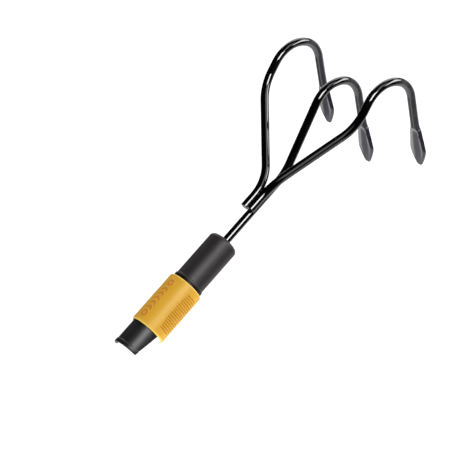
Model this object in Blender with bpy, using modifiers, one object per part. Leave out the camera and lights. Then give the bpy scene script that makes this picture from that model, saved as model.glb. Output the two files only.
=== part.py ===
"""Hand cultivator head: three hooked steel tines on a quick-lock coupling.

Frame: the origin is the centre of the socket's floor, where a handle's plug comes to rest.
+X runs along the shank to the tines, +Y to the left tine, +Z up; the hooks point down.
Dimensions are millimetres, and turn into metres where a shape is made.
"""

import bmesh
import bpy
from math import cos, hypot, pi, radians, sin, tan
from mathutils import Matrix, Vector

MM = 0.001
GAP = 0.3                 # clearance between pieces that touch
SEGMENTS = 32             # facets round a turned piece
OVERSHOOT = 4.0           # how far a cutter reaches past what it cuts

# Rods and their bends
ROD_R = 3.5
SHANK_END = 3.3           # where the shank stops above the socket's floor
BUNDLE_START = 94.0       # where the outer rods begin on the shank
BUNDLE_RUN = 27.7         # from there to the corner of the fan bend
FAN_ANGLE = 38.1          # each outer rod turns out by this much
FAN_RISE = 16.0           # and rises by this much
FAN_RUN = 87.6
SHANK_BEND = 43.8         # from the bundle's start to the middle rod's corner
HOOK_RISE = 21.1          # slopes of the hook's three straight runs
HOOK_FALL = -50.3
HOOK_DROP = -111.3
HOOK_RUN = 41.5
CREST_RUN = 34.8
DROP_RUN = 79.1
HOOK_SETBACK = (-13.1, -9.8)   # the middle hook sits this far back and down (x, z)
FAN_BEND_R = 42.8
LEVEL_BEND_R = 41.4
CREST_BEND_R = 27.8
DROP_BEND_R = 22.5
ARC_STEPS = 8

# Spear blade: distance from the tip, half width, half thickness, how far from round to flat
BLADE_STATIONS = [
    (41.0, 3.20, 3.20, 0.0), (38.5, 3.65, 3.65, 0.0), (36.0, 3.80, 3.10, 0.3),
    (31.0, 5.40, 2.00, 0.8), (25.0, 7.30, 1.40, 1.0), (20.0, 8.40, 1.25, 1.0),
    (16.5, 8.60, 1.20, 1.0), (12.0, 7.30, 1.15, 1.0), (6.0, 4.50, 1.05, 1.0),
    (1.6, 2.00, 0.80, 1.0), (0.0, 0.70, 0.50, 1.0),
]
BLADE_EDGE = 0.35         # thickness left at the edges, as a share of the middle's
BLADE_FLAT = 0.45         # the back's middle flat, as a share of the half width
BLADE_POINTS = 12         # points round a section
ROD_INTO_BLADE = 38.0     # the rod's round end, this far from the tip

# Welds
WELD_FROM, WELD_TO = 1.5, 15.0     # from the bundle's start
WELD_R = 1.5
WELD_OUT = 2.2            # from the middle of two rods to the bead's own middle
WELD_SWELL = [            # share of the bead's length, share of its radius there
    (0.0, 0.45), (0.08, 0.85), (0.2, 1.0), (0.5, 1.0), (0.8, 1.0), (0.92, 0.85), (1.0, 0.45),
]

# Ferrule
FERRULE_TOP, FERRULE_BOTTOM = 62.0, 15.5
FERRULE_TOP_R, FERRULE_BOTTOM_R = 12.9, 13.0
FERRULE_ROUND = 3.8
COLLAR_R = 13.1
COLLAR_TOP = 19.6
COLLAR_EDGE = 0.3
COLLAR_GROOVE, GROOVE_DEPTH = 0.8, 0.5
CAVITY_TOP = 49.8
BEAD_AT = 41.0            # snap bead and groove between ferrule and stem
BEAD_HEIGHT = 0.6

# Socket body
MOUTH = -57.8
MOUTH_BEAD = 3.6
MOUTH_BEAD_R = 14.2
MOUTH_EDGE = 0.4
BARREL_R = 13.7
BARREL_TOP = -18.7
NECK_R = 12.5
NECK_TOP = 13.8
STEM_R = 9.0
STEM_TOP = 49.5
STEM_EDGE = 0.6
BORE_R = 9.3
BORE_END = -31.5
MOUTH_BORE_R = 11.5
MOUTH_BORE_END = -34.5
SHANK_HOLE_FLOOR = 3.0
SCOOP_END = -26.0         # the lower half of the mouth is cut back to here
SCOOP_Z_MOUTH, SCOOP_Z_END = 5.0, -1.4

# Sleeve and its spring
SLEEVE_TOP, SLEEVE_BOTTOM = 13.5, -34.6
SLEEVE_R = 15.85
SLEEVE_BORE_R = 14.0
SLEEVE_EDGE = 0.5
NOTCH_END, NOTCH_Z, NOTCH_SLOPE = -26.6, -11.5, 1.5
LAND_R = 12.9             # the sleeve's inner land, which guides it and holds the balls in
LAND_TOP, LAND_BOTTOM = 0.7, -18.4
RAMP_R, RAMP_LENGTH = 13.3, 2.2
WASHER_R = 13.6
SPRING_WIRE_R = 0.45
SPRING_R = 13.25
SPRING_TURNS = 6
SPRING_STEPS = 16         # points a turn
CLOSED_GAP = 0.15         # left between the end turns, which lie closed

# Balls and pin
BALLS = 3
BALL_R = 2.1
BALL_AT = -14.5
BALL_OUT = 10.4           # from the axis to a ball's centre
BALL_FACETS = (14, 8)     # round and from pole to pole
PIN_AT = 30.0
PIN_R, PIN_WALL, PIN_HALF = 1.3, 0.6, 8.6
PIN_SLOT = 0.8

parts = bpy.data.collections.new("hand_cultivator")
cutters = bpy.data.collections.new("cutters")


def start_clean():
    for thing in list(bpy.data.objects):
        bpy.data.objects.remove(thing)
    bpy.context.scene.collection.children.link(parts)
    bpy.context.scene.collection.children.link(cutters)


def material(name, colour, roughness, metallic=0.0):
    made = bpy.data.materials.new(name)
    made.use_nodes = True
    shader = made.node_tree.nodes["Principled BSDF"]
    shader.inputs["Base Color"].default_value = (*colour, 1.0)
    shader.inputs["Roughness"].default_value = roughness
    shader.inputs["Metallic"].default_value = metallic
    return made


def add(name, data, finish=None, collection=parts):
    thing = bpy.data.objects.new(name, data)
    collection.objects.link(thing)
    if finish:
        data.materials.append(finish)
    return thing


def as_cutter(thing):
    thing.hide_render = True
    thing.display_type = "WIRE"
    return thing


def cut(thing, tool, operation="DIFFERENCE"):
    step = thing.modifiers.new(tool.name, "BOOLEAN")
    step.operation = operation
    step.solver = "EXACT"
    step.object = tool


def smooth(thing, angle=40.0):
    thing.data.shade_smooth()
    thing.data.set_sharp_from_angle(angle=radians(angle))


def meshed(source):
    """Swap a curve or a modified object for a closed mesh of the same name and place."""
    bpy.context.view_layer.update()
    evaluated = source.evaluated_get(bpy.context.evaluated_depsgraph_get())
    mesh = bpy.data.meshes.new_from_object(evaluated)
    weld = bmesh.new()
    weld.from_mesh(mesh)
    bmesh.ops.remove_doubles(weld, verts=weld.verts, dist=0.00001)
    weld.to_mesh(mesh)
    weld.free()
    name, place = source.name, source.matrix_world.copy()
    collection = source.users_collection[0]
    bpy.data.objects.remove(source)
    thing = bpy.data.objects.new(name, mesh)
    collection.objects.link(thing)
    thing.matrix_world = place
    return thing


def wire(name, points, radius, finish=None, collection=parts, resolution=4, swell=None):
    """A round bar along points; swell gives each point's share of the radius."""
    curve = bpy.data.curves.new(name, "CURVE")
    curve.dimensions = "3D"
    curve.bevel_depth = radius * MM
    curve.bevel_resolution = resolution
    curve.use_fill_caps = True
    spline = curve.splines.new("POLY")
    spline.points.add(len(points) - 1)
    for index, (point, place) in enumerate(zip(spline.points, points)):
        point.co = (*(Vector(place) * MM), 1.0)
        point.radius = swell[index] if swell else 1.0
    return add(name, curve, finish, collection)


def turned(name, profile, finish=None, collection=parts):
    """Turn (radius, x) points about the X axis, listed down the outer side towards -X."""
    mesh = bpy.data.meshes.new(name)
    points = [(radius * MM, 0.0, x * MM) for radius, x in profile]
    edges = [(i, i + 1) for i in range(len(points) - 1)]
    if profile[0][0] > 0:
        edges.append((len(points) - 1, 0))
    mesh.from_pydata(points, edges, [])
    thing = add(name, mesh, finish, collection)
    screw = thing.modifiers.new("Turn", "SCREW")
    screw.axis = "Z"
    screw.steps = screw.render_steps = SEGMENTS
    screw.use_merge_vertices = True
    screw.merge_threshold = 0.00001
    thing.rotation_euler = (0.0, pi / 2, 0.0)
    thing = meshed(thing)
    smooth(thing)
    return thing


def rod_cylinder(name, start, end, radius, collection=cutters, sides=16):
    """A round cutter from start to end."""
    start, end = Vector(start), Vector(end)
    mesh = bpy.data.meshes.new(name)
    shape = bmesh.new()
    bmesh.ops.create_cone(
        shape, cap_ends=True, segments=sides, radius1=radius * MM, radius2=radius * MM,
        depth=(end - start).length * MM)
    shape.to_mesh(mesh)
    shape.free()
    thing = as_cutter(add(name, mesh, None, collection))
    thing.location = (start + end) / 2 * MM
    thing.rotation_euler = (end - start).to_track_quat("Z", "Y").to_euler()
    return thing


def slope(angle):
    """A unit direction in the XZ plane, rising by an angle in degrees."""
    return Vector((cos(radians(angle)), 0.0, sin(radians(angle))))


def rounded(corners, radii):
    """The path through corners, with an arc of the given radius at each inner one."""
    path = [Vector(corners[0])]
    for before, corner, after, radius in zip(corners, corners[1:], corners[2:], radii):
        back, ahead = (before - corner).normalized(), (after - corner).normalized()
        turn = pi - back.angle(ahead)
        reach = radius * tan(turn / 2)
        centre = corner + (back + ahead).normalized() * hypot(radius, reach)
        first = corner + back * reach - centre
        axis = first.cross(corner + ahead * reach - centre).normalized()
        for step in range(ARC_STEPS + 1):
            path.append(centre + Matrix.Rotation(turn * step / ARC_STEPS, 3, axis) @ first)
    path.append(Vector(corners[-1]))
    return path


def bundle_places():
    """Sideways and upward offset of the outer rods, which lie on the shank."""
    half = ROD_R + GAP / 2
    return half, half * 3 ** 0.5


def outer_corners(side):
    across, up = bundle_places()
    turn, rise = radians(FAN_ANGLE), radians(FAN_RISE)
    start = Vector((BUNDLE_START, side * across, up))
    fan = start + Vector((BUNDLE_RUN, 0.0, 0.0))
    level = fan + FAN_RUN * Vector((cos(rise) * cos(turn), side * cos(rise) * sin(turn), sin(rise)))
    crest = level + HOOK_RUN * slope(HOOK_RISE)
    drop = crest + CREST_RUN * slope(HOOK_FALL)
    return [start, fan, level, crest, drop, drop + DROP_RUN * slope(HOOK_DROP)]


def centre_corners():
    outer = outer_corners(1)
    shift = Vector((HOOK_SETBACK[0], -outer[2].y, HOOK_SETBACK[1]))
    return [Vector((SHANK_END, 0.0, 0.0)), Vector((BUNDLE_START + SHANK_BEND, 0.0, 0.0)),
            *(corner + shift for corner in outer[3:])]


def blade_section(half_width, half_thickness, flatness):
    """A circle when flatness is 0; when it is 1, flat in front, bevelled behind."""
    section = []
    half_turn = BLADE_POINTS // 2
    for index in range(BLADE_POINTS):
        angle = 2 * pi * (index + 0.5) / BLADE_POINTS
        across, through = cos(angle), sin(angle)
        from_edge = min(index % half_turn, half_turn - 1 - index % half_turn)
        reach = (1.0, BLADE_FLAT, BLADE_FLAT / 3)[from_edge]
        back = 1.0 - 2.0 * BLADE_EDGE if reach == 1.0 else -1.0
        flat_across = reach if across > 0 else -reach
        flat_through = 1.0 if through > 0 else back
        section.append((half_width * (across + (flat_across - across) * flatness),
                        half_thickness * (through + (flat_through - through) * flatness)))
    return section


def blade(name, tip, along):
    """The forged end: a loft from the round rod to the flat, bevelled spear."""
    side = Vector((0.0, 1.0, 0.0))
    through = along.cross(side)
    shape = bmesh.new()
    rings = []
    for back, half_width, half_thickness, flatness in BLADE_STATIONS:
        centre = tip - along * back
        rings.append([shape.verts.new((centre + side * across + through * deep) * MM)
                      for across, deep in blade_section(half_width, half_thickness, flatness)])
    for ring, following in zip(rings, rings[1:]):
        for index in range(BLADE_POINTS):
            after = (index + 1) % BLADE_POINTS
            shape.faces.new((ring[index], ring[after], following[after], following[index]))
    shape.faces.new(reversed(rings[0]))
    shape.faces.new(rings[-1])
    bmesh.ops.recalc_face_normals(shape, faces=shape.faces)
    mesh = bpy.data.meshes.new(name)
    shape.to_mesh(mesh)
    shape.free()
    return as_cutter(add(name, mesh, None, cutters))


def tine(name, corners, radii, finish):
    """A bent rod joined to its blade as one piece of steel."""
    tip = corners[-1]
    along = (corners[-1] - corners[-2]).normalized()
    path = rounded(corners[:-1] + [tip - along * ROD_INTO_BLADE], radii)
    bar = meshed(wire(name, path, ROD_R, finish))
    cut(bar, blade(name + "_blade", tip, along), "UNION")
    return bar


def make_tines(steel):
    hook = [CREST_BEND_R, DROP_BEND_R]
    centre = tine("centre_tine", centre_corners(), [FAN_BEND_R] + hook, steel)
    reach = PIN_HALF + OVERSHOOT
    cut(centre, rod_cylinder("pin_hole", (PIN_AT, -reach, 0), (PIN_AT, reach, 0), PIN_R + GAP))
    outer_radii = [FAN_BEND_R, LEVEL_BEND_R] + hook
    tines = [centre,
             tine("left_tine", outer_corners(1), outer_radii, steel),
             tine("right_tine", outer_corners(-1), outer_radii, steel)]
    for each in tines:
        smooth(each)


def make_welds(steel):
    """Three beads, each in the valley between two of the rods and clear of both."""
    across, up = bundle_places()
    rods = {"shank": Vector((0, 0, 0)), "left": Vector((0, across, up)),
            "right": Vector((0, -across, up))}
    middle = sum(rods.values(), Vector()) / len(rods)
    start = Vector((BUNDLE_START, 0, 0))
    run = WELD_TO - WELD_FROM
    swell = [share for step, share in WELD_SWELL]
    tools = {}
    for rod, place in rods.items():
        tools[rod] = rod_cylinder(
            "clear_" + rod, start + place - Vector((OVERSHOOT, 0, 0)),
            start + place + Vector((WELD_TO + OVERSHOOT, 0, 0)), ROD_R + GAP)
    for name, pair in {"weld_left": ("shank", "left"), "weld_right": ("shank", "right"),
                       "weld_top": ("left", "right")}.items():
        between = (rods[pair[0]] + rods[pair[1]]) / 2
        out = (between - middle).normalized()
        line = [start + between + out * WELD_OUT + Vector((WELD_FROM + run * step, 0, 0))
                for step, share in WELD_SWELL]
        bead = meshed(wire(name, line, WELD_R, steel, swell=swell))
        for rod in pair:
            cut(bead, tools[rod])
        smooth(bead)


def make_ferrule(plastic):
    corner = [(FERRULE_TOP_R - FERRULE_ROUND * (1 - sin(radians(a))),
               FERRULE_TOP - FERRULE_ROUND * (1 - cos(radians(a)))) for a in range(0, 91, 18)]
    profile = [
        (ROD_R + GAP, FERRULE_TOP), *corner,
        (FERRULE_BOTTOM_R, COLLAR_TOP + COLLAR_GROOVE),
        (FERRULE_BOTTOM_R - GROOVE_DEPTH, COLLAR_TOP + COLLAR_GROOVE),
        (FERRULE_BOTTOM_R - GROOVE_DEPTH, COLLAR_TOP),
        (COLLAR_R - COLLAR_EDGE, COLLAR_TOP), (COLLAR_R, COLLAR_TOP - COLLAR_EDGE),
        (COLLAR_R, FERRULE_BOTTOM + COLLAR_EDGE), (COLLAR_R - COLLAR_EDGE, FERRULE_BOTTOM),
        (STEM_R + GAP, FERRULE_BOTTOM), (STEM_R + GAP, BEAD_AT - BEAD_HEIGHT * 2),
        (STEM_R + GAP - BEAD_HEIGHT, BEAD_AT - BEAD_HEIGHT / 2),
        (STEM_R + GAP - BEAD_HEIGHT, BEAD_AT + BEAD_HEIGHT / 2),
        (STEM_R + GAP, BEAD_AT + BEAD_HEIGHT), (STEM_R + GAP, CAVITY_TOP),
        (ROD_R + GAP, CAVITY_TOP),
    ]
    turned("ferrule", profile, plastic)


def prism_cutter(name, outline):
    """A prism across the coupling, from its outline in the XZ plane."""
    curve = bpy.data.curves.new(name, "CURVE")
    curve.dimensions = "2D"
    curve.fill_mode = "BOTH"
    curve.extrude = 2 * SLEEVE_R * MM
    spline = curve.splines.new("POLY")
    spline.points.add(len(outline) - 1)
    spline.use_cyclic_u = True
    for point, (x, z) in zip(spline.points, outline):
        point.co = (x * MM, z * MM, 0.0, 1.0)
    flat = add(name, curve, None, cutters)
    flat.rotation_euler = (pi / 2, 0.0, 0.0)
    return as_cutter(meshed(flat))


def scoop_cutter():
    """Takes the lower part of the socket's mouth away, along a sloping line."""
    start = MOUTH - OVERSHOOT
    slant = (SCOOP_Z_END - SCOOP_Z_MOUTH) / (SCOOP_END - MOUTH)
    return prism_cutter("scoop", [
        (start, SCOOP_Z_MOUTH + slant * (start - MOUTH)), (SCOOP_END, SCOOP_Z_END),
        (SCOOP_END, -2 * BARREL_R), (start, -2 * BARREL_R)])


def notch_cutter():
    """Opens the sleeve's lower edge under the scoop; the notch has a sloping corner."""
    start = SLEEVE_BOTTOM - OVERSHOOT
    return prism_cutter("notch", [
        (start, NOTCH_Z), (NOTCH_END - NOTCH_SLOPE, NOTCH_Z), (NOTCH_END, NOTCH_Z - NOTCH_SLOPE),
        (NOTCH_END, -2 * SLEEVE_R), (start, -2 * SLEEVE_R)])


def ball_places():
    return [radians(90 + 360 / BALLS * index) for index in range(BALLS)]


def radial(x, distance, angle):
    """A point at a distance from the axis; angle 90 degrees is straight up."""
    return Vector((x, distance * cos(angle), distance * sin(angle)))


def make_socket(plastic):
    profile = [
        (0.0, SHANK_HOLE_FLOOR), (ROD_R + GAP, SHANK_HOLE_FLOOR), (ROD_R + GAP, STEM_TOP),
        (STEM_R - STEM_EDGE, STEM_TOP), (STEM_R, STEM_TOP - STEM_EDGE),
        (STEM_R, BEAD_AT + BEAD_HEIGHT * 2),
        (STEM_R - BEAD_HEIGHT, BEAD_AT + BEAD_HEIGHT),
        (STEM_R - BEAD_HEIGHT, BEAD_AT - BEAD_HEIGHT * 2),
        (STEM_R, BEAD_AT - BEAD_HEIGHT * 3), (STEM_R, NECK_TOP),
        (NECK_R, NECK_TOP), (NECK_R, BARREL_TOP), (BARREL_R, BARREL_TOP),
        (BARREL_R, MOUTH + MOUTH_BEAD), (MOUTH_BEAD_R, MOUTH + MOUTH_BEAD - MOUTH_EDGE),
        (MOUTH_BEAD_R, MOUTH + MOUTH_EDGE), (MOUTH_BEAD_R - MOUTH_EDGE, MOUTH),
        (MOUTH_BORE_R + MOUTH_EDGE, MOUTH), (MOUTH_BORE_R, MOUTH + MOUTH_EDGE),
        (MOUTH_BORE_R, MOUTH_BORE_END), (BORE_R, BORE_END), (BORE_R, 0.0), (0.0, 0.0),
    ]
    body = turned("socket_body", profile, plastic)
    cut(body, scoop_cutter())
    for index, angle in enumerate(ball_places()):
        cut(body, rod_cylinder(
            f"ball_hole_{index + 1}", radial(BALL_AT, BORE_R - OVERSHOOT, angle),
            radial(BALL_AT, NECK_R + OVERSHOOT, angle), BALL_R + GAP))
    cut(body, bpy.data.objects["pin_hole"])


def make_sleeve(plastic):
    profile = [
        (SLEEVE_BORE_R + SLEEVE_EDGE, SLEEVE_TOP), (SLEEVE_R - SLEEVE_EDGE, SLEEVE_TOP),
        (SLEEVE_R, SLEEVE_TOP - SLEEVE_EDGE), (SLEEVE_R, SLEEVE_BOTTOM + SLEEVE_EDGE),
        (SLEEVE_R - SLEEVE_EDGE, SLEEVE_BOTTOM),
        (SLEEVE_BORE_R + SLEEVE_EDGE, SLEEVE_BOTTOM),
        (SLEEVE_BORE_R, SLEEVE_BOTTOM + SLEEVE_EDGE), (SLEEVE_BORE_R, LAND_BOTTOM),
        (RAMP_R, LAND_BOTTOM), (LAND_R, LAND_BOTTOM + RAMP_LENGTH), (LAND_R, LAND_TOP),
        (SLEEVE_BORE_R, LAND_TOP), (SLEEVE_BORE_R, SLEEVE_TOP - SLEEVE_EDGE),
    ]
    cut(turned("lock_sleeve", profile, plastic), notch_cutter())


def make_washer(steel):
    profile = [(STEM_R + GAP, FERRULE_BOTTOM - GAP), (WASHER_R, FERRULE_BOTTOM - GAP),
               (WASHER_R, NECK_TOP + GAP), (STEM_R + GAP, NECK_TOP + GAP)]
    turned("spring_washer", profile, steel)


def make_spring(steel):
    """Six turns between the sleeve's land and the washer; the end turns lie closed."""
    low = LAND_TOP + GAP + SPRING_WIRE_R
    high = NECK_TOP - SPRING_WIRE_R
    closed = 2 * SPRING_WIRE_R + CLOSED_GAP
    line = []
    for step in range(SPRING_TURNS * SPRING_STEPS + 1):
        turn = step / SPRING_STEPS
        share = min(max((turn - 1) / (SPRING_TURNS - 2), 0.0), 1.0)
        x = (low + closed * min(turn, 1.0) + (high - low - 2 * closed) * share
             + closed * max(turn - (SPRING_TURNS - 1), 0.0))
        line.append(radial(x, SPRING_R, 2 * pi * turn))
    meshed(wire("return_spring", line, SPRING_WIRE_R, steel, resolution=2))


def make_balls(steel):
    for index, angle in enumerate(ball_places()):
        mesh = bpy.data.meshes.new(f"lock_ball_{index + 1}")
        shape = bmesh.new()
        bmesh.ops.create_uvsphere(
            shape, u_segments=BALL_FACETS[0], v_segments=BALL_FACETS[1], radius=BALL_R * MM)
        shape.to_mesh(mesh)
        shape.free()
        ball = add(f"lock_ball_{index + 1}", mesh, steel)
        ball.location = radial(BALL_AT, BALL_OUT, angle) * MM
        smooth(ball)


def make_pin(steel):
    """A rolled spring pin: a tube with a slot down its side."""
    start, end = Vector((PIN_AT, -PIN_HALF, 0)), Vector((PIN_AT, PIN_HALF, 0))
    pin = rod_cylinder("shank_pin", start, end, PIN_R, parts)
    pin.hide_render = False
    pin.display_type = "TEXTURED"
    pin.data.materials.append(steel)
    longer = Vector((0, OVERSHOOT, 0))
    cut(pin, rod_cylinder("pin_bore", start - longer, end + longer, PIN_R - PIN_WALL))
    mesh = bpy.data.meshes.new("pin_slot")
    shape = bmesh.new()
    length = 2 * (PIN_HALF + OVERSHOOT)
    size = Matrix.Diagonal((2 * PIN_R * MM, length * MM, PIN_SLOT * MM, 1.0))
    bmesh.ops.create_cube(shape, size=1.0, matrix=size)
    shape.to_mesh(mesh)
    shape.free()
    slot = as_cutter(add("pin_slot", mesh, None, cutters))
    slot.location = Vector((PIN_AT + PIN_R, 0, 0)) * MM
    cut(pin, slot)


def build():
    start_clean()
    painted = material("black_powder_coat", (0.012, 0.012, 0.013), 0.22)
    charcoal = material("charcoal_plastic", (0.045, 0.042, 0.046), 0.5)
    black = material("black_plastic", (0.020, 0.020, 0.022), 0.42)
    orange = material("orange_plastic", (0.83, 0.36, 0.04), 0.42)
    bright = material("bright_steel", (0.62, 0.62, 0.62), 0.3, 1.0)
    make_tines(painted)
    make_welds(painted)
    make_ferrule(charcoal)
    make_socket(black)
    make_sleeve(orange)
    make_washer(bright)
    make_spring(bright)
    make_balls(bright)
    make_pin(bright)


build()
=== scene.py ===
"""Looks of the hand cultivator head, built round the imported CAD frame.

Lengths are millimetres in the row frame, and turn into metres where a mesh is made.
"""

from math import atan2, ceil, cos, floor, hypot, pi, radians, sin, tan

import bmesh
import bpy
from mathutils import Matrix, Vector, noise


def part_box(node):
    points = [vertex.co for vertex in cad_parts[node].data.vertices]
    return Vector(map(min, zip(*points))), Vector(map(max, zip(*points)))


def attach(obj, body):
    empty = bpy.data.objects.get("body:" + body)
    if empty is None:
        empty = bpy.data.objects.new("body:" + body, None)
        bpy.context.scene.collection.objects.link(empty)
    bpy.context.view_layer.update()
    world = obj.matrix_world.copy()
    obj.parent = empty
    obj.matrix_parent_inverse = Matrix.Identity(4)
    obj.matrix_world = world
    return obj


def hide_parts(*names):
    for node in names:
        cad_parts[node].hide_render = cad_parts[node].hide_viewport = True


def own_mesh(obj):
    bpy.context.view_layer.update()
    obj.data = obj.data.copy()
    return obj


MM = 0.001
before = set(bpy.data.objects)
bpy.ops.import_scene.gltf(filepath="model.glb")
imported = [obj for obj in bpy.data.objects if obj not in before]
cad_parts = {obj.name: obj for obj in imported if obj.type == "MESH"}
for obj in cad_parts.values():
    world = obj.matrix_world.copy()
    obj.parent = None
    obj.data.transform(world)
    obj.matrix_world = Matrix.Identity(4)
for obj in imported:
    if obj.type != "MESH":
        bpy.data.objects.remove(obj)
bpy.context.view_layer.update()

# Rods, as in the CAD
ROD_R = 3.5
GAP = 0.3                 # between neighbours
SHANK_START = 3.3
BUNDLE_START, BUNDLE_RUN = 94.0, 27.7
FAN_ANGLE, FAN_RISE, FAN_RUN = 38.1, 16.0, 87.6
SHANK_BEND = 43.8
HOOK_RISE, HOOK_FALL, HOOK_DROP = 21.1, -50.3, -111.3
HOOK_RUN, CREST_RUN, DROP_RUN = 41.5, 34.8, 79.1
HOOK_SETBACK = (-13.1, -9.8)
FAN_BEND_R, LEVEL_BEND_R, CREST_BEND_R, DROP_BEND_R = 42.8, 41.4, 27.8, 22.5
ROD_POINTS = 32           # round a section
ROD_EDGE = 0.45           # chamfer of a sawn end
ARC_STEP = 3.0            # degrees of bend a ring
ROUND_ROD = (ROD_R, ROD_R, ROD_R, ROD_R, 0.0)     # a section, as in a blade's station

# Spear blade. A station has its distance from the tip, the half width, the depths to the
# front, to the back's raised border and to its dished middle, and how far from round to flat.
BLADE_STATIONS = [
    (46.0, 3.50, 3.50, 3.50, 3.50, 0.0), (40.0, 3.70, 3.50, 3.50, 3.50, 0.0),
    (36.6, 3.90, 3.20, 3.40, 3.35, 0.30), (33.7, 4.90, 1.95, 2.20, 1.45, 0.95),
    (31.5, 5.50, 1.60, 2.05, 1.05, 1.0), (25.0, 6.80, 1.35, 1.80, 0.95, 1.0),
    (20.0, 7.60, 1.25, 1.70, 0.90, 1.0), (15.5, 8.15, 1.15, 1.55, 0.90, 1.0),
    (11.5, 7.45, 1.05, 1.40, 0.90, 1.0), (6.0, 5.25, 0.95, 1.15, 0.85, 1.0),
    (1.7, 3.15, 0.75, 0.80, 0.70, 1.0), (0.5, 2.20, 0.60, 0.62, 0.58, 1.0),
    (0.0, 1.00, 0.40, 0.40, 0.40, 1.0),
]
BLADE_SUBSTEPS = 4
BLADE_SIDE = Vector((0.0, 1.0, 0.0))
BLADE_EDGE = 0.6          # depth of the edges' back corner, as a share of the front's
BORDER_PLACE, DISH_PLACE = 0.86, 0.44     # as shares of the half width
CREASE = 13.0             # degrees from which an edge of a rod or blade is sharp

# Paler grey painted on the blade's back as a highlight, by section point and by distance from the
# tip, and where the satin blade and the drops' painted reflection end
BACK_MIDDLE, BACK_HALF = 24, 6            # the back's middle point, and points from it to a crest
BORDER_POINTS = {19: 0.3, 20: 0.3, 27: 0.3, 28: 1.0, 29: 1.0, 30: 1.0}    # how pale
BORDER_START = (4.0, 12.0)
SHOULDER = (33.0, 37.0)   # the pale arch where the blade meets the rod
SHOULDER_ARCH = 2.5       # how much nearer the tip the arch is at the sides
SHOULDER_PALE = 0.8
SATIN_END, SHEEN_END = (35.0, 38.0), (77.0, 94.0)    # where satin turns to the drop's grey painted reflection, and where that turns to gloss

# Weld beads
WELD_RINGS, WELD_POINTS = 72, 16
WELD_R = 1.15
WELD_HIGH, WELD_WIDE = 0.75, 1.15         # stretch outwards and across
WELD_OUT = 1.25           # the bead's middle, out from the line between its rods
WELD_END = 0.12           # the ends' thickness, as a share of the middle's
RIPPLE_PITCH, RIPPLE_LEAN = 1.15, 0.45
RIPPLE_HEIGHT, RIPPLE_NOISE = 0.05, 0.04  # as shares of the bead's radius

# Ferrule
FLANGE_R, FLANGE_TOP = 13.7, 17.3
FLANGE_EDGE = 0.3
DOME_R = 3.8
FERRULE_SKIN = 0.15       # the body's distance inside its CAD node
STEM_HOLE_R, STEM_HOLE_END = 9.3, 49.8

# Socket
FLOOR_DEPTH = 3.0         # the shank's recess starts behind the floor
STEM_R, STEM_CUT = 9.0, 0.6               # the cut is the depth of its chamfer and groove
STEM_GROOVE = (39.2, 42.2)
NECK_R, NECK_START, NECK_END = 12.5, 13.8, -18.7
BARREL_SKIN = 0.5         # how much narrower the barrel is than its foot rim
FOOT_RIM, FOOT_EDGE = 3.2, 0.4
MOUTH_R, MOUTH_END = 11.5, -34.5
BORE_R, BORE_START = 9.3, -31.5
SCOOP_END = (-26.0, -1.4) # where the slanted cut stops under the sleeve, as (x, z)
SCOOP_LIP = 5.0           # the slanted cut's height at the tongue's end
CUT_PAST = 4.0            # how far a cutter reaches past the mouth
BALL_X, BALL_COUNT, BALL_HOLE_R = -14.5, 3, 2.4
BALL_HOLE_START, BALL_HOLE_END = 6.0, 16.0
PIN_X, PIN_HOLE_R, PIN_HOLE_REACH = 30.0, 1.6, 12.0

# Sleeve
SLEEVE_POINTS = 288       # round a row of its mesh
SLEEVE_EDGE = 1.1         # radius of the outer rims
SLEEVE_BORE_R, SLEEVE_BORE_EDGE = 14.0, 0.2
LAND_R, LAND_START, LAND_END = 12.9, -16.2, 0.7    # the land holds the balls in
LAND_RAMP = (13.3, -18.4) # the wide end of its ramp, as (radius, x)
NOTCH_TOP, NOTCH_END, NOTCH_CORNER = -11.5, -26.6, 1.5
RIM_HIGHLIGHT = (0.5, 1.4)     # from the ends: where the rims' painted highlight is full, and where it has faded out
RIB_PITCH, RIB_DEPTH = 2.1, 0.75
RIB_COUNT = 17
RIB_HALF_ANGLE = 29.0     # of the ribbed patch on each flank, at its middle
RIB_TAPER = 0.22          # how much narrower the patch is at its ends
RIB_RUNOUT = 3.5          # degrees over which a groove runs out
RIB_GROOVE = (0.45, 1.0)  # how high the wave of a pitch is where a groove starts and is full
RIB_ROWS = 10             # rows of the sleeve's mesh in a rib's pitch

# Raised marks along the sleeve's top
MARK_HEIGHT = 0.4
MARK_EDGE = (-0.15, 0.2)  # from inside a mark's outline, where it is full, to where it ends
MARK_REACH = 4.0          # half the width of the strip that they stand in
RING_PLACE, RING_R, RING_HALF = 16.0, 2.3, 0.75
CHEVRON_PITCH, CHEVRON_SLANT, CHEVRON_SHIFT = 4.8, 0.7, 0.9
CHEVRON_HALF, CHEVRON_REACH = 1.0, 3.1

TURN_SEGMENTS = 96        # round every other turned piece

# Studio, in metres and degrees
STUDIO_CENTRE = Vector((0.1, 0.0, 0.0))
PANEL_DISTANCE = 1.6
KEY_PLACE, KEY_UP = (0.32, -0.70, 0.575), (0.40, -0.69, -0.60)
KEY_SIZE = (0.34, 0.50)
CARD_SIZE, CARD_EDGE, CARD_DEPTH = (2.6, 1.42), 0.42, -0.4
CARD_HEADING = -66.0
FLOOR_HALF, FLOOR_LEVEL = 14.0, -0.45


# Meshes

def smoothstep(low, high, value):
    share = min(max((value - low) / (high - low), 0.0), 1.0)
    return share * share * (3.0 - 2.0 * share)


def radial(x, distance, angle):
    """A point at a distance from the X axis; angle 90 degrees is straight up."""
    return Vector((x, distance * cos(angle), distance * sin(angle)))


def mesh_from(name, verts, faces, sharp):
    mesh = bpy.data.meshes.new(name)
    mesh.from_pydata([Vector(vert) * MM for vert in verts], [], faces)
    shape = bmesh.new()
    shape.from_mesh(mesh)
    bmesh.ops.recalc_face_normals(shape, faces=shape.faces)
    shape.to_mesh(mesh)
    shape.free()
    mesh.shade_smooth()
    mesh.set_sharp_from_angle(angle=radians(sharp))
    return mesh


def added(name, data):
    """A new object in the scene."""
    thing = bpy.data.objects.new(name, data)
    bpy.context.scene.collection.objects.link(thing)
    return thing


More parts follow.
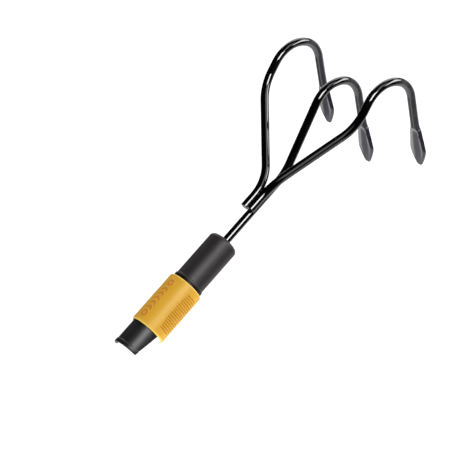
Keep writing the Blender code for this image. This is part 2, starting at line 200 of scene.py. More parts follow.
def piece(name, mesh, finish, node, body="head"):
    """A visible piece in place of a CAD node."""
    thing = added(name, mesh)
    mesh.materials.clear()
    mesh.materials.append(finish)
    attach(thing, body)
    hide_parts(node)
    return thing


def paint(mesh, name, value_at):
    """A float attribute, from a function of each vertex's index and its place in millimetres."""
    layer = mesh.attributes.new(name, "FLOAT", "POINT")
    for index, vert in enumerate(mesh.vertices):
        layer.data[index].value = value_at(index, vert.co / MM)


def lofted(rings):
    """Vertices and faces of a closed skin through rings of equal length."""
    count = len(rings[0])
    verts = [point for ring in rings for point in ring]
    faces = []
    for row in range(len(rings) - 1):
        for index in range(count):
            after = (index + 1) % count
            faces.append((row * count + index, row * count + after,
                          (row + 1) * count + after, (row + 1) * count + index))
    last = (len(rings) - 1) * count
    faces.append(tuple(range(count)))
    faces.append(tuple(last + index for index in reversed(range(count))))
    return verts, faces


def turned(profile, segments=TURN_SEGMENTS):
    """Vertices and faces of a closed (radius, x) outline turned about the X axis."""
    verts, rings, faces = [], [], []
    for radius, x in profile:
        count = 1 if radius == 0.0 else segments
        rings.append([len(verts) + index for index in range(count)])
        verts += [radial(x, radius, 2 * pi * index / segments) for index in range(count)]
    for ring, after in zip(rings, rings[1:] + rings[:1]):
        if len(ring) + len(after) == 2:
            continue
        for index in range(segments):
            here = [ring[index % len(ring)], ring[(index + 1) % len(ring)]]
            there = [after[(index + 1) % len(after)], after[index % len(after)]]
            faces.append(tuple(dict.fromkeys(here + there)))
    return verts, faces


def rim(radius, end, fillet, inwards, angles):
    """Points of a round (radius, x) rim, from its end face at 0 degrees to its side at 90."""
    return [(radius - fillet * (1 - sin(radians(angle))),
             end + inwards * fillet * (1 - cos(radians(angle)))) for angle in angles]


def softened(profile, radius, steps=3):
    """A closed (radius, x) outline with its corners rounded."""
    soft = []
    for before, corner, after in zip(profile[-1:] + profile, profile, profile[1:] + profile[:1]):
        before, corner, after = Vector(before), Vector(corner), Vector(after)
        if corner.x == 0.0:
            soft.append(tuple(corner))
            continue
        back, ahead = before - corner, after - corner
        first = corner + back * min(radius / back.length, 0.4)
        last = corner + ahead * min(radius / ahead.length, 0.4)
        for step in range(steps + 1):
            share = step / steps
            soft.append(tuple(first * (1 - share) ** 2 + corner * 2 * share * (1 - share)
                              + last * share ** 2))
    return soft


# Rods and blades

def slope(angle):
    """A unit direction in the XZ plane, rising by an angle in degrees."""
    return Vector((cos(radians(angle)), 0.0, sin(radians(angle))))


def outer_corners(side):
    """Corners of an outer rod's path, on the side of +Y for 1 and of -Y for -1."""
    half = ROD_R + GAP / 2
    turn, rise = radians(FAN_ANGLE), radians(FAN_RISE)
    start = Vector((BUNDLE_START, side * half, half * 3 ** 0.5))
    fan = start + Vector((BUNDLE_RUN, 0.0, 0.0))
    outward = Vector((cos(rise) * cos(turn), side * cos(rise) * sin(turn), sin(rise)))
    level = fan + FAN_RUN * outward
    crest = level + HOOK_RUN * slope(HOOK_RISE)
    drop = crest + CREST_RUN * slope(HOOK_FALL)
    return [start, fan, level, crest, drop, drop + DROP_RUN * slope(HOOK_DROP)]


def centre_corners():
    """Corners of the shank's path, which ends in a hook of the outer ones' shape."""
    outer = outer_corners(1)
    shift = Vector((HOOK_SETBACK[0], -outer[2].y, HOOK_SETBACK[1]))
    return [Vector((SHANK_START, 0.0, 0.0)), Vector((BUNDLE_START + SHANK_BEND, 0.0, 0.0)),
            *(corner + shift for corner in outer[3:])]


def rounded(corners, radii):
    """The path through corners, with an arc of the given radius at each inner one."""
    path = [Vector(corners[0])]
    for before, corner, after, radius in zip(corners, corners[1:], corners[2:], radii):
        back, ahead = (before - corner).normalized(), (after - corner).normalized()
        bend = pi - back.angle(ahead)
        reach = radius * tan(bend / 2)
        centre = corner + (back + ahead).normalized() * hypot(radius, reach)
        first = corner + back * reach - centre
        axis = first.cross(corner + ahead * reach - centre).normalized()
        steps = round(bend / radians(ARC_STEP))
        for step in range(steps + 1):
            path.append(centre + Matrix.Rotation(bend * step / steps, 3, axis) @ first)
    path.append(Vector(corners[-1]))
    return path


def blade_stations():
    """The blade's stations with smooth steps between them (Catmull-Rom)."""
    made = []
    known = [Vector(station) for station in BLADE_STATIONS]
    for index, (here, after) in enumerate(zip(known, known[1:])):
        before = known[max(index - 1, 0)]
        beyond = known[min(index + 2, len(known) - 1)]
        for step in range(BLADE_SUBSTEPS):
            t = step / BLADE_SUBSTEPS
            place = ((here * 2 + (after - before) * t
                      + (before * 2 - here * 5 + after * 4 - beyond) * t ** 2
                      + (here * 3 - before - after * 3 + beyond) * t ** 3) / 2)
            made.append((here[0] + (after[0] - here[0]) * t, *place[1:]))
    made.append(tuple(known[-1]))
    return made


def flat_corners(half_width, front, border, dish):
    """The flat section's corners, each with the number of its point."""
    edge, crest, bottom = -front * BLADE_EDGE, half_width * BORDER_PLACE, half_width * DISH_PLACE
    return [(2, (half_width, front)), (14, (-half_width, front)), (16, (-half_width, edge)),
            (18, (-crest, -border)), (21, (-bottom, -dish)), (27, (bottom, -dish)),
            (30, (crest, -border)), (32, (half_width, edge)), (34, (half_width, front))]


def section(half_width, front, border, dish, flatness):
    """Across and through, from a circle to a flat front with a dished back."""
    corners = flat_corners(half_width, front, border, dish)
    points = []
    for index in range(ROD_POINTS):
        number = index if index >= corners[0][0] else index + ROD_POINTS
        for (low, first), (high, last) in zip(corners, corners[1:]):
            if low <= number <= high:
                flat = Vector(first).lerp(Vector(last), (number - low) / (high - low))
        angle = 2 * pi * index / ROD_POINTS
        depth = front if angle < pi else border
        circle = Vector((half_width * cos(angle), depth * sin(angle)))
        points.append(circle.lerp(flat, min(max(flatness, 0.0), 1.0)))
    return points


def blade_and_sheen(from_tip):
    """1 on the satin blade, 0.5 on the drop, whose grey is a painted reflection, and 0 on the gloss
    rod.
    """
    return 1.0 - 0.5 * smoothstep(*SATIN_END, from_tip) - 0.5 * smoothstep(*SHEEN_END, from_tip)


def bordered(point_index, from_tip):
    """How much a point of a blade lies on the border round its dish, which is painted paler as a
    highlight.
    """
    along = 1 - smoothstep(SHOULDER[0], SHOULDER[0] + 1.0, from_tip)
    sides = BORDER_POINTS.get(point_index, 0.0) * along * smoothstep(*BORDER_START, from_tip)
    off_middle = (point_index - BACK_MIDDLE) / BACK_HALF
    place = from_tip + SHOULDER_ARCH * off_middle ** 2
    on_shoulder = abs(off_middle) <= 1 and SHOULDER[0] < place < SHOULDER[1]
    return max(sides, SHOULDER_PALE * on_shoulder)


def rod_places(path, along):
    """A path's points, each with the directions across and along the rod there."""
    places = [(path[-1], BLADE_SIDE, along)]
    for here, after in zip(reversed(path[:-1]), reversed(path[1:])):
        side, tangent = places[-1][1:]
        ahead = (after - here).normalized()
        places.append((here, tangent.rotation_difference(ahead) @ side, ahead))
    return places[::-1]


def tine(name, corners, radii, node, finish):
    """A bent rod and its spear blade as one skin, from the sawn end to the tip."""
    tip = corners[-1]
    along = (corners[-1] - corners[-2]).normalized()
    stations = blade_stations()
    rod_end = tip - along * (stations[0][0] + ROD_R)
    rod = rod_places(rounded(corners[:-1] + [rod_end], radii), along)
    start, side, tangent = rod[0]
    edge_r = ROD_R - ROD_EDGE
    places = [(start, side, tangent, edge_r, edge_r, edge_r, edge_r, 0.0),
              (start + tangent * ROD_EDGE, side, tangent, *ROUND_ROD)]
    places += [(*place, *ROUND_ROD) for place in rod[1:]]
    places += [(tip - along * from_tip, BLADE_SIDE, along, *shape) for from_tip, *shape in stations]
    rings = []
    for point, side, tangent, *shape in places:
        through = tangent.cross(side)
        rings.append([point + side * across + through * deep for across, deep in section(*shape)])
    mesh = mesh_from(name, *lofted(rings), sharp=CREASE)
    # The drops and the bends above them get a painted reflection, and the blade's border a painted
    # highlight.
    paint(mesh, "blade_and_sheen", lambda index, point: blade_and_sheen((tip - point).length))
    paint(mesh, "border", lambda index, point: bordered(index % ROD_POINTS,
                                                        (tip - point).dot(along)))
    piece(name, mesh, finish, node)


def make_tines(coat):
    hook = [CREST_BEND_R, DROP_BEND_R]
    tine("middle_tine_steel", centre_corners(), [FAN_BEND_R] + hook, "centre_tine", coat)
    outer = [FAN_BEND_R, LEVEL_BEND_R] + hook
    tine("left_tine_steel", outer_corners(1), outer, "left_tine", coat)
    tine("right_tine_steel", outer_corners(-1), outer, "right_tine", coat)


def weld_ring(x, share, between, out, across):
    """A ring of a weld bead at x, a share of the way along it."""
    swell = min(1.0, (1 - abs(2 * share - 1) ** 6) ** 0.5 + WELD_END)
    ripple = (1 + RIPPLE_HEIGHT * abs(sin(pi * x / RIPPLE_PITCH))
              + RIPPLE_NOISE * noise.noise(Vector((x, 0, 0))))
    reach = WELD_R * swell * ripple
    ring = []
    for index in range(WELD_POINTS):
        angle = 2 * pi * index / WELD_POINTS
        ring.append(Vector((x - RIPPLE_LEAN * cos(angle) ** 2, 0, 0)) + between
                    + out * (WELD_OUT + reach * sin(angle) * WELD_HIGH)
                    + across * reach * WELD_WIDE * cos(angle))
    return ring


def make_welds(coat):
    """Rippled beads that fill the three valleys between the rods."""
    half = ROD_R + GAP / 2
    rods = {"shank": Vector((0, 0, 0)), "left": Vector((0, half, half * 3 ** 0.5)),
            "right": Vector((0, -half, half * 3 ** 0.5))}
    middle = sum(rods.values(), Vector()) / len(rods)
    for name, pair in {"weld_left": ("shank", "left"), "weld_right": ("shank", "right"),
                       "weld_top": ("left", "right")}.items():
        low, high = (corner.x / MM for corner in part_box(name))
        between = (rods[pair[0]] + rods[pair[1]]) / 2
        out = (between - middle).normalized()
        across = out.cross(Vector((1, 0, 0)))
        shares = [step / WELD_RINGS for step in range(WELD_RINGS + 1)]
        rings = [weld_ring(low + (high - low) * share, share, between, out, across)
                 for share in shares]
        mesh = mesh_from(name + "_bead", *lofted(rings), sharp=50.0)
        piece(name + "_bead", mesh, coat, name)


# Coupling

def span(node):
    """A turned node's lowest x, highest x and outer radius."""
    low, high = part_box(node)
    return low.x / MM, high.x / MM, high.z / MM


def make_ferrule(plastic):
    """The moulded grip: a flange beside the sleeve, a straight body and a domed end."""
    low, high, wide = span("ferrule")
    body_r, hole_r = wide - FERRULE_SKIN, ROD_R + GAP
    dome = rim(body_r, high, DOME_R, -1, range(0, 91, 9))
    root = [(body_r, FLANGE_TOP + 0.9), (body_r + 0.06, FLANGE_TOP + 0.55),
            (body_r + 0.25, FLANGE_TOP + 0.25)]
    flange = [(FLANGE_R - 0.25, FLANGE_TOP), (FLANGE_R - 0.07, FLANGE_TOP - 0.08),
              (FLANGE_R, FLANGE_TOP - FLANGE_EDGE), (FLANGE_R, low + FLANGE_EDGE),
              (FLANGE_R - FLANGE_EDGE, low)]
    inside = [(STEM_HOLE_R, low), (STEM_HOLE_R, STEM_HOLE_END), (hole_r, STEM_HOLE_END)]
    profile = [(hole_r, high)] + dome + root + flange + inside
    mesh = mesh_from("ferrule_shell", *turned(profile), sharp=40.0)
    piece("ferrule_shell", mesh, plastic, "ferrule")


def prism(name, outline, half_depth):
    """A cutter across the coupling, from its outline in the XZ plane."""
    rings = [[Vector((x, side * half_depth, z)) for x, z in outline] for side in (-1, 1)]
    return added(name, mesh_from(name, *lofted(rings), sharp=30.0))


def trimmed(name, mesh, cutters, sharp):
    """A mesh with cutters taken away, and the cutters removed from the scene."""
    body = added(name, mesh)
    for cutter in cutters:
        step = body.modifiers.new(cutter.name, "BOOLEAN")
        step.operation = "DIFFERENCE"
        step.solver = "EXACT"
        step.object = cutter
    bpy.context.view_layer.update()
    evaluated = body.evaluated_get(bpy.context.evaluated_depsgraph_get())
    made = bpy.data.meshes.new_from_object(evaluated)
    for thing in [body, *cutters]:
        bpy.data.objects.remove(thing)
    made.shade_smooth()
    made.set_sharp_from_angle(angle=radians(sharp))
    return made


def cylinder(name, start, end, radius, sides=32):
    """A round cutter between two points, its corners off the planes of symmetry."""
    start, end = Vector(start), Vector(end)
    along = (end - start).normalized()
    side = along.orthogonal().normalized() * radius
    turns = [Matrix.Rotation(2 * pi * (index + 0.3) / sides, 3, along) for index in range(sides)]
    rings = [[centre + turn @ side for turn in turns] for centre in (start, end)]
    return added(name, mesh_from(name, *lofted(rings), sharp=30.0))


def socket_outline(low, high, wide):
    """The socket's turned (radius, x) outline, from the shank's recess round to the floor."""
    hole_r, barrel_r = ROD_R + GAP, wide - BARREL_SKIN
    groove_low, groove_high = STEM_GROOVE
    stem = [(hole_r, FLOOR_DEPTH), (hole_r, high), (STEM_R - STEM_CUT, high),
            (STEM_R, high - STEM_CUT), (STEM_R, groove_high),
            (STEM_R - STEM_CUT, groove_high - STEM_CUT),
            (STEM_R - STEM_CUT, groove_low + STEM_CUT), (STEM_R, groove_low)]
    outside = [(STEM_R, NECK_START), (NECK_R, NECK_START), (NECK_R, NECK_END),
               (barrel_r, NECK_END), (barrel_r, low + FOOT_RIM + FOOT_EDGE),
               (wide, low + FOOT_RIM), (wide, low + FOOT_EDGE), (wide - FOOT_EDGE, low)]
    inside = [(MOUTH_R + FOOT_EDGE, low), (MOUTH_R, low + FOOT_EDGE), (MOUTH_R, MOUTH_END),
              (BORE_R, BORE_START), (BORE_R, 0.0)]
    return softened(stem + outside + inside, radius=0.25) + [(0.0, 0.0), (0.0, FLOOR_DEPTH)]


def make_socket(plastic):
    """The black socket, cut at a slant so that a tongue is left over the plug."""
    low, high, wide = span("socket_body")
    mesh = mesh_from("socket_shell", *turned(socket_outline(low, high, wide)), sharp=32.0)
    end_x, end_z = SCOOP_END
    slant = (end_z - SCOOP_LIP) / (end_x - low)
    start_x, under = low - CUT_PAST, -2 * wide
    scoop = prism("scoop", [(start_x, SCOOP_LIP - CUT_PAST * slant), (end_x, end_z),
                            (end_x, under), (start_x, under)], 2 * wide)
    holes = []
    for index in range(BALL_COUNT):
        angle = radians(90 + 360 / BALL_COUNT * index)
        holes.append(cylinder(f"hole_{index}", radial(BALL_X, BALL_HOLE_START, angle),
                              radial(BALL_X, BALL_HOLE_END, angle), BALL_HOLE_R))
    pin_hole = cylinder("pin_hole", (PIN_X, -PIN_HOLE_REACH, 0.0), (PIN_X, PIN_HOLE_REACH, 0.0),
                        PIN_HOLE_R)
    mesh = trimmed("socket_shell", mesh, [scoop, pin_hole, *holes], sharp=32.0)
    piece("socket_shell", mesh, plastic, "socket_body")


def rib_depth(x, angle, middle):
    """How deep the grip's grooves cut at a place on the sleeve."""
    flank = min(abs(angle), abs(abs(angle) - pi))
    half = RIB_COUNT * RIB_PITCH / 2
    if abs(x - middle) > half:
        return 0.0
    end = abs(x - middle) / half
    limit = radians(RIB_HALF_ANGLE) * (1 - RIB_TAPER * end ** 4)
    inside = 1 - smoothstep(limit - radians(RIB_RUNOUT), limit, flank)
    wave = 0.5 - 0.5 * cos(2 * pi * (x - middle + half) / RIB_PITCH)
    return RIB_DEPTH * inside * smoothstep(*RIB_GROOVE, wave)


def mark_height(x, across, middle):
    """Raised generic marks along the top: a ring at each end and chevrons between."""
    distance = []
    for side in (-1, 1):
        from_centre = hypot(x - middle - side * RING_PLACE, across)
        distance.append(abs(from_centre - RING_R) - RING_HALF)
    for step in range(-2, 3):
        slanted = x - middle - step * CHEVRON_PITCH + abs(across) * CHEVRON_SLANT - CHEVRON_SHIFT
        distance.append(max(abs(slanted) - CHEVRON_HALF, abs(across) - CHEVRON_REACH))
    return MARK_HEIGHT * (1 - smoothstep(*MARK_EDGE, min(distance)))


def sleeve_rows(low, high, middle):
    """Heights of the sleeve's rows, in step with the ribs."""
    row = RIB_PITCH / RIB_ROWS
    first = ceil((low - middle) / row) + 1
    last = floor((high - middle) / row) - 1
    offset = RIB_PITCH / 2 * (RIB_COUNT % 2)
    places = [middle + offset + step * row for step in range(last, first - 1, -1)]
    return [high] + [place for place in places if low < place < high] + [low]


def sleeve_bore(low, high):
    """The inside of the sleeve, with the land that holds the balls in."""
    bore, edge = SLEEVE_BORE_R, SLEEVE_BORE_EDGE
    ramp_r, ramp_x = LAND_RAMP
    return softened([
        (bore + edge, low), (bore, low + edge), (bore, ramp_x), (ramp_r, ramp_x),
        (LAND_R, LAND_START), (LAND_R, LAND_END), (bore, LAND_END), (bore, high - edge),
        (bore + edge, high)], radius=0.15, steps=2)


def sleeve_relief(point, skin, middle):
    """How far a vertex stands over the skin, or lies under it in a groove."""
    raised = hypot(point.y, point.z) - skin
    beyond_ribs = abs(point.x - middle) > RIB_COUNT * RIB_PITCH / 2
    if raised < -RIB_DEPTH - 0.05 or (beyond_ribs and raised < 0.0):
        return 0.0
    return raised


def sleeve_rim_highlight(point, low, high):
    """1 on the outer rims, where a paler colour is painted as a highlight."""
    from_end = min(point.x - low, high - point.x)
    outside = hypot(point.y, point.z) > SLEEVE_BORE_R + 0.1
    return (1 - smoothstep(*RIM_HIGHLIGHT, from_end)) * outside


def make_sleeve(plastic):
    """The sliding sleeve: ribs and marks shape its skin, and a notch opens its underside."""
    low, high, wide = span("lock_sleeve")
    middle, skin = (low + high) / 2, wide - MARK_HEIGHT
    outer = [(skin, x) for x in sleeve_rows(low + SLEEVE_EDGE, high - SLEEVE_EDGE, middle)]
    top = rim(skin, high, SLEEVE_EDGE, -1, range(0, 73, 18))
    foot = rim(skin, low, SLEEVE_EDGE, 1, range(72, -1, -18))
    verts, faces = turned(top + outer + foot + sleeve_bore(low, high), SLEEVE_POINTS)
    for index in range(len(top) * SLEEVE_POINTS, (len(top) + len(outer)) * SLEEVE_POINTS):
        x, y, z = verts[index]
        angle = atan2(z, y)
        across = skin * (angle - pi / 2)
        change = -rib_depth(x, angle, middle)
        if abs(across) < MARK_REACH:
            change += mark_height(x, across, middle)
        verts[index] = radial(x, skin + change, angle)
    mesh = mesh_from("sleeve_shell", verts, faces, sharp=40.0)
    start_x, under = low - CUT_PAST, -2 * wide
    notch = prism("notch", [(start_x, NOTCH_TOP), (NOTCH_END - NOTCH_CORNER, NOTCH_TOP),
                            (NOTCH_END, NOTCH_TOP - NOTCH_CORNER), (NOTCH_END, under),
                            (start_x, under)], 2 * wide)
    mesh = trimmed("sleeve_shell", mesh, [notch], sharp=40.0)
    # The relief sets the grooves' painted shade and the marks' colour.
    paint(mesh, "relief", lambda index, point: sleeve_relief(point, skin, middle))
    # The rims' painted highlight.
    paint(mesh, "border_and_rim_highlight", lambda index, point: sleeve_rim_highlight(point, low, high))
    piece("sleeve_shell", mesh, plastic, "lock_sleeve", "sleeve")


def make_washer(steel):
    """The flat washer that the spring stands on, with softened edges."""
    low, high, wide = span("spring_washer")
    profile = softened([(STEM_HOLE_R, high), (wide, high), (wide, low), (STEM_HOLE_R, low)],
                       radius=0.2)
    piece("washer_disc", mesh_from("washer_disc", *turned(profile), sharp=40.0), steel,
          "spring_washer")


def make_spring(steel):
    """The coil spring at rest on the washer; the real one flattens against it as the sleeve is
    pulled.
    """
    low, high, wide = span("return_spring")
    wire_r, gap, turns, steps, sides = 0.45, 0.15, 6, 40, 12
    first, last, closed = low + wire_r, high - wire_r, 2 * wire_r + gap
    rings = []
    for step in range(turns * steps + 1):
        turn = step / steps
        share = min(max((turn - 1) / (turns - 2), 0.0), 1.0)
        end_turns = min(turn, 1.0) + max(turn - (turns - 1), 0.0)
        x = first + closed * end_turns + (last - first - 2 * closed) * share
        around = [2 * pi * index / sides for index in range(sides)]
        rings.append([radial(x + wire_r * sin(angle), wide - wire_r + wire_r * cos(angle),
                             2 * pi * turn) for angle in around])
    mesh = mesh_from("spring_coil", *lofted(rings), sharp=50.0)
    spring = piece("spring_coil", mesh, steel, "return_spring")
    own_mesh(spring)


def make_balls(steel):
    """Round balls, a little over the faceted CAD balls' half width."""
    facet = 0.03 * MM
    for index in range(1, BALL_COUNT + 1):
        low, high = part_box(f"lock_ball_{index}")
        shape = bmesh.new()
        bmesh.ops.create_icosphere(shape, subdivisions=4, radius=(high - low).x / 2 + facet)
        bmesh.ops.translate(shape, verts=shape.verts, vec=(low + high) / 2)
        mesh = bpy.data.meshes.new(f"ball_{index}_steel")
        shape.to_mesh(mesh)
        shape.free()
        mesh.shade_smooth()
        piece(f"ball_{index}_steel", mesh, steel, f"lock_ball_{index}",
              f"ball_{index}")


def make_pin(steel):
    """A rolled spring pin with chamfered ends and a slot down its side."""
    low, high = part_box("shank_pin")
    half, radius = high.y / MM, (high.z - low.z) / 2 / MM
    wall, edge, slot_half, steps = 0.6, 0.3, radians(18), 40
    turns = [slot_half + (2 * pi - 2 * slot_half) * step / steps for step in range(steps + 1)]
    rings = []
    for y, trim in ((-half, edge), (-half + edge, 0), (half - edge, 0), (half, edge)):
        outer, inner = radius - trim, radius - wall
        spots = [(outer, angle) for angle in turns]
        spots += [(inner, angle) for angle in reversed(turns)]
        rings.append([Vector((PIN_X + reach * cos(angle), y, reach * sin(angle)))
                      for reach, angle in spots])
    verts, faces = lofted(rings)
    faces = faces[:-2]
    count = len(rings[0])
    for start in (0, 3 * count):
        faces += [(start + i, start + i + 1, start + count - 2 - i, start + count - 1 - i)
                  for i in range(count // 2 - 1)]
    mesh = mesh_from("pin_roll", verts, faces, sharp=30.0)
    piece("pin_roll", mesh, steel, "shank_pin")


# Materials

def node_material(name):
    """A new material with its nodes and links."""
    made = bpy.data.materials.new(name)
    made.use_nodes = True
    return made, made.node_tree.nodes, made.node_tree.links


def placed_noise(nodes, links, scale, detail=3.0, stretch=(1.0, 1.0, 1.0)):
    """Noise in the piece's own space, with scale in features a metre."""
    where = nodes.new("ShaderNodeTexCoord")
    sized = nodes.new("ShaderNodeMapping")
    sized.inputs["Scale"].default_value = stretch
    grain = nodes.new("ShaderNodeTexNoise")
    grain.inputs["Scale"].default_value = scale
    grain.inputs["Detail"].default_value = detail
    links.new(where.outputs["Object"], sized.inputs["Vector"])
    links.new(sized.outputs["Vector"], grain.inputs["Vector"])
    return grain.outputs["Fac"]


def painted_value(nodes, name):
    """The value of a mesh's own float attribute."""
    made = nodes.new("ShaderNodeAttribute")
    made.attribute_name = name
    return made.outputs["Fac"]


def ramp(nodes, links, source, stops):
    """A colour ramp from (position, colour or grey) stops."""
    made = nodes.new("ShaderNodeValToRGB")
    elements = made.color_ramp.elements
    while len(elements) < len(stops):
        elements.new(0.5)
    for element, (place, value) in zip(elements, stops):
        element.position = place
        element.color = (*value, 1.0) if isinstance(value, tuple) else (value, value, value, 1.0)
    links.new(source, made.inputs["Fac"])
    return made.outputs["Color"]


def mixed(nodes, links, share, first, second, how="MIX"):
    """A mix of two colours, where each input is a socket or a plain value."""
    made = nodes.new("ShaderNodeMix")
    made.data_type = "RGBA"
    made.blend_type = how
    for socket, value in ((made.inputs["Factor"], share), (made.inputs["A"], first),
                          (made.inputs["B"], second)):
        if hasattr(value, "links"):
            links.new(value, socket)
        else:
            socket.default_value = value
    return made.outputs["Result"]


def bumped(nodes, links, height, strength, distance, under=None):
    """A bump of a distance in millimetres, on top of the one under it."""
    made = nodes.new("ShaderNodeBump")
    made.inputs["Strength"].default_value = strength
    made.inputs["Distance"].default_value = distance * MM
    links.new(height, made.inputs["Height"])
    if under:
        links.new(under, made.inputs["Normal"])
    return made.outputs["Normal"]


def powder_coat():
    """Gloss black on the rods and satin on the blades, with painted reflections: grey down the
    drops and paler in the bends above them.
    """
    made, nodes, links = node_material("black_powder_coat")
    shader = nodes["Principled BSDF"]
    sheen_stage = painted_value(nodes, "blade_and_sheen")
    patches = placed_noise(nodes, links, 260.0)
    fine = placed_noise(nodes, links, 1400.0, 2.0)
    black, satin = (0.0012, 0.0012, 0.0012), (0.017, 0.014, 0.025)
    # The pale grey in the bends and the grey down the drops are painted reflections.
    pale, drop_sheen = (0.062, 0.062, 0.064), (0.034, 0.032, 0.037)
    base = ramp(nodes, links, sheen_stage, [(0.0, black), (0.08, black), (0.28, pale),
                                     (0.5, drop_sheen), (0.7, drop_sheen), (1.0, satin)])
    uneven = ramp(nodes, links, patches, [(0.3, 0.75), (0.7, 1.15)])
    painted = mixed(nodes, links, 1.0, base, uneven, "MULTIPLY")
    # Paler grey on the blade's border and shoulder arch: a painted highlight.
    border_and_rim_highlight = ramp(nodes, links, fine, [(0.35, (0.17, 0.17, 0.18)), (0.65, (0.26, 0.26, 0.27))])
    border = painted_value(nodes, "border")
    links.new(mixed(nodes, links, border, painted, border_and_rim_highlight), shader.inputs["Base Color"])
    gloss = ramp(nodes, links, patches, [(0.3, 0.05), (0.7, 0.09)])
    worn = ramp(nodes, links, fine, [(0.3, 0.17), (0.7, 0.25)])
    links.new(mixed(nodes, links, sheen_stage, gloss, worn), shader.inputs["Roughness"])
    peel = bumped(nodes, links, patches, strength=0.07, distance=0.05)
    links.new(bumped(nodes, links, fine, strength=0.06, distance=0.01, under=peel),
              shader.inputs["Normal"])
    shader.inputs["Specular IOR Level"].default_value = 0.75
    return made


def moulded_plastic(name, dark, light, rough, grain, specular, tint=(1.0, 1.0, 1.0)):
    """Spark-eroded plastic: a fine grain and faint flow marks along the part."""
    made, nodes, links = node_material(name)
    shader = nodes["Principled BSDF"]
    flow = placed_noise(nodes, links, 60.0, 4.0, (0.35, 1.0, 1.0))
    spark = placed_noise(nodes, links, 4200.0, 2.0)
    links.new(ramp(nodes, links, flow, [(0.3, dark), (0.7, light)]), shader.inputs["Base Color"])
    links.new(ramp(nodes, links, spark, [(0.3, rough - 0.06), (0.7, rough + 0.06)]),
              shader.inputs["Roughness"])
    links.new(bumped(nodes, links, spark, strength=grain, distance=0.02),
              shader.inputs["Normal"])
    shader.inputs["Specular IOR Level"].default_value = specular
    shader.inputs["Specular Tint"].default_value = (*tint, 1.0)
    return made


def charcoal_plastic():
    return moulded_plastic("charcoal_plastic", (0.0105, 0.0058, 0.0070),
                           (0.0125, 0.0070, 0.0084), rough=0.52, grain=0.15, specular=0.41)


def black_plastic():
    return moulded_plastic("black_plastic", (0.004, 0.004, 0.004), (0.006, 0.006, 0.006),
                           rough=0.44, grain=0.12, specular=0.52)


def orange_plastic():
    """The sleeve's plastic: painted shade deepens it in the grooves, the marks are a deeper orange,
    and a painted highlight makes the rims paler.
    """
    made = moulded_plastic("orange_plastic", (0.590, 0.298, 0.003), (0.630, 0.324, 0.005),
                           rough=0.48, grain=0.10, specular=0.48, tint=(1.0, 1.0, 0.76))
    nodes, links = made.node_tree.nodes, made.node_tree.links
    shader = nodes["Principled BSDF"]
    spread = nodes.new("ShaderNodeMapRange")
    spread.inputs["From Min"].default_value = -1.0
    spread.inputs["From Max"].default_value = 1.0
    links.new(painted_value(nodes, "relief"), spread.inputs["Value"])
    # Painted shade: the grooves get darker the deeper they cut. The marks are a deeper orange.
    groove, mark = (0.76, 0.61, 0.24), (0.92, 0.56, 0.15)
    shade = ramp(nodes, links, spread.outputs["Result"],
                 [(0.12, groove), (0.42, 1.0), (0.54, 1.0), (0.66, mark)])
    plain = shader.inputs["Base Color"].links[0].from_socket
    shaded = mixed(nodes, links, 1.0, plain, shade, "MULTIPLY")
    # A paler yellow painted on the rims as a highlight.
    pale = (0.86, 0.60, 0.12, 1.0)
    links.new(mixed(nodes, links, painted_value(nodes, "border_and_rim_highlight"), shaded, pale),
              shader.inputs["Base Color"])
    return made


def steel(name, dark, light, rough):
    """Drawn or rolled steel with fine lines along X and a thin oil film."""
    made, nodes, links = node_material(name)
    shader = nodes["Principled BSDF"]
    lines = placed_noise(nodes, links, 900.0, 3.0, (0.15, 1.0, 1.0))
    film = placed_noise(nodes, links, 180.0)
    links.new(ramp(nodes, links, film, [(0.3, dark), (0.7, light)]), shader.inputs["Base Color"])
    links.new(ramp(nodes, links, lines, [(0.3, rough - 0.08), (0.7, rough + 0.08)]),
              shader.inputs["Roughness"])
    links.new(bumped(nodes, links, lines, strength=0.15, distance=0.01),
              shader.inputs["Normal"])
    shader.inputs["Metallic"].default_value = 1.0
    return made


def blackened_steel():
    return steel("blackened_steel", (0.015, 0.015, 0.017), (0.03, 0.03, 0.032), rough=0.45)


def bright_steel():
    return steel("bright_steel", (0.50, 0.50, 0.51), (0.62, 0.62, 0.63), rough=0.28)


def paper():
    """White studio paper with a faint fibre, lit a little from within."""
    made, nodes, links = node_material("studio_paper")
    shader = nodes["Principled BSDF"]
    fibre = placed_noise(nodes, links, 30.0)
    links.new(ramp(nodes, links, fibre, [(0.3, 0.90), (0.7, 0.92)]), shader.inputs["Base Color"])
    shader.inputs["Roughness"].default_value = 0.9
    shader.inputs["Specular IOR Level"].default_value = 0.0
    shader.inputs["Emission Color"].default_value = (1.0, 1.0, 1.0, 1.0)
    shader.inputs["Emission Strength"].default_value = 0.3
    return made


# Studio

def turn_to(thing, place, back, right):
    """Puts a light or camera at a place, facing away from back."""
    turn = Matrix((right, back.cross(right), back)).transposed()
    thing.matrix_world = Matrix.Translation(place) @ turn.to_4x4()


def aim(thing, place, target, up=(0.0, 0.0, 1.0)):
    back = (place - target).normalized()
    turn_to(thing, place, back, Vector(up).cross(back).normalized())


def heading(azimuth, elevation):
    """A direction; azimuth 0 is +X and 90 is +Y, and elevation is above the horizon."""
    a, e = radians(azimuth), radians(elevation)
    return Vector((cos(a) * cos(e), sin(a) * cos(e), sin(e)))


def area_light(name, size, radiance, glossy=True, diffuse=True):
    """A rectangular light of the given radiance, which the camera doesn't see."""
    data = bpy.data.lights.new(name, "AREA")
    data.shape = "RECTANGLE"
    data.size, data.size_y = size
    data.energy = radiance * pi * data.size * data.size_y
    lamp = added(name, data)
    lamp.visible_camera = False
    lamp.visible_glossy = glossy
    lamp.visible_diffuse = diffuse
    return lamp


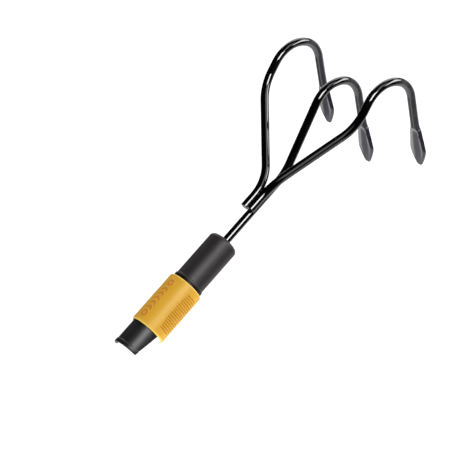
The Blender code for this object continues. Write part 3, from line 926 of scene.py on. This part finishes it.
def light_panel(name, towards, angles, radiance, glossy=True, diffuse=False):
    """A softbox seen from the object at (azimuth, elevation), with its size as angles."""
    size = [2 * PANEL_DISTANCE * tan(radians(angle / 2)) for angle in angles]
    lamp = area_light(name, size, radiance, glossy, diffuse)
    aim(lamp, STUDIO_CENTRE + heading(*towards) * PANEL_DISTANCE, STUDIO_CENTRE)


def key_light(name, radiance, glossy):
    """A long softbox near the camera, leaning from upper left to lower right."""
    lamp = area_light(name, KEY_SIZE, radiance, glossy=glossy, diffuse=not glossy)
    aim(lamp, Vector(KEY_PLACE), STUDIO_CENTRE, KEY_UP)


def bounce_card():
    """White light from under the object; its front edge leaves the near side dark."""
    lamp = area_light("bounce_card", CARD_SIZE, radiance=1.05)
    front = heading(CARD_HEADING, 0.0)
    middle = front * (CARD_EDGE - lamp.data.size_y / 2) + Vector((0.0, 0.0, CARD_DEPTH))
    turn = Matrix.Rotation(radians(90.0 + CARD_HEADING), 4, "Z") @ Matrix.Rotation(pi, 4, "X")
    lamp.matrix_world = Matrix.Translation(middle) @ turn


def make_floor():
    """White paper that is seen and lights the object, and doesn't show in its gloss."""
    mesh = bpy.data.meshes.new("studio_floor")
    corners = [(x * FLOOR_HALF, y * FLOOR_HALF, FLOOR_LEVEL)
               for x, y in ((-1, -1), (1, -1), (1, 1), (-1, 1))]
    mesh.from_pydata(corners, [], [(0, 1, 2, 3)])
    mesh.materials.append(paper())
    ground = added("studio_floor", mesh)
    ground.visible_glossy = False


def make_world():
    """Even white light that doesn't show in the gloss."""
    world = bpy.data.worlds.new("studio")
    bpy.context.scene.world = world
    world.use_nodes = True
    sky = world.node_tree.nodes["Background"]
    sky.inputs["Color"].default_value = (1.0, 1.0, 1.0, 1.0)
    sky.inputs["Strength"].default_value = 0.9
    world.cycles_visibility.glossy = False


def make_lights():
    """A key near the camera, and panels that draw the long highlights along the rods."""
    key_light("key_gloss", 16.0, glossy=True)
    key_light("key_soft", 6.0, glossy=False)
    light_panel("side", (-32.0, -1.0), (44.0, 17.0), 9.5)
    light_panel("side_above", (-43.0, 34.0), (30.0, 28.0), 1.8)
    light_panel("side_soft", (-60.0, 5.0), (60.0, 30.0), 1.0, glossy=False, diffuse=True)
    light_panel("rim", (38.0, 11.0), (58.0, 38.0), 2.5)
    light_panel("left", (-171.0, 20.0), (30.0, 76.0), 1.4)
    bounce_card()


def make_camera():
    """A long lens that looks down from the socket's end and the right tine's side."""
    place = Vector((-0.3427, -1.2117, 1.2299))
    target = Vector((0.07364, 0.0090, 0.00205))
    across = Vector((0.64067, -0.64835, -0.41132))
    back = (place - target).normalized()
    camera = added("camera", bpy.data.cameras.new("camera"))
    turn_to(camera, place, back, (across - back * across.dot(back)).normalized())
    camera.data.lens = 175.2
    camera.data.clip_start = 0.05
    camera.data.clip_end = 60.0
    bpy.context.scene.camera = camera


def write_sizes():
    """Brings the view layer up to date."""
    bpy.context.view_layer.update()


make_camera()
coat = powder_coat()
make_tines(coat)
make_welds(coat)
make_ferrule(charcoal_plastic())
make_socket(black_plastic())
make_sleeve(orange_plastic())
make_washer(blackened_steel())
bright = bright_steel()
make_spring(bright)
make_balls(bright)
make_pin(bright)
make_floor()
make_lights()
make_world()
bpy.context.scene.view_settings.view_transform = "Standard"
write_sizes()
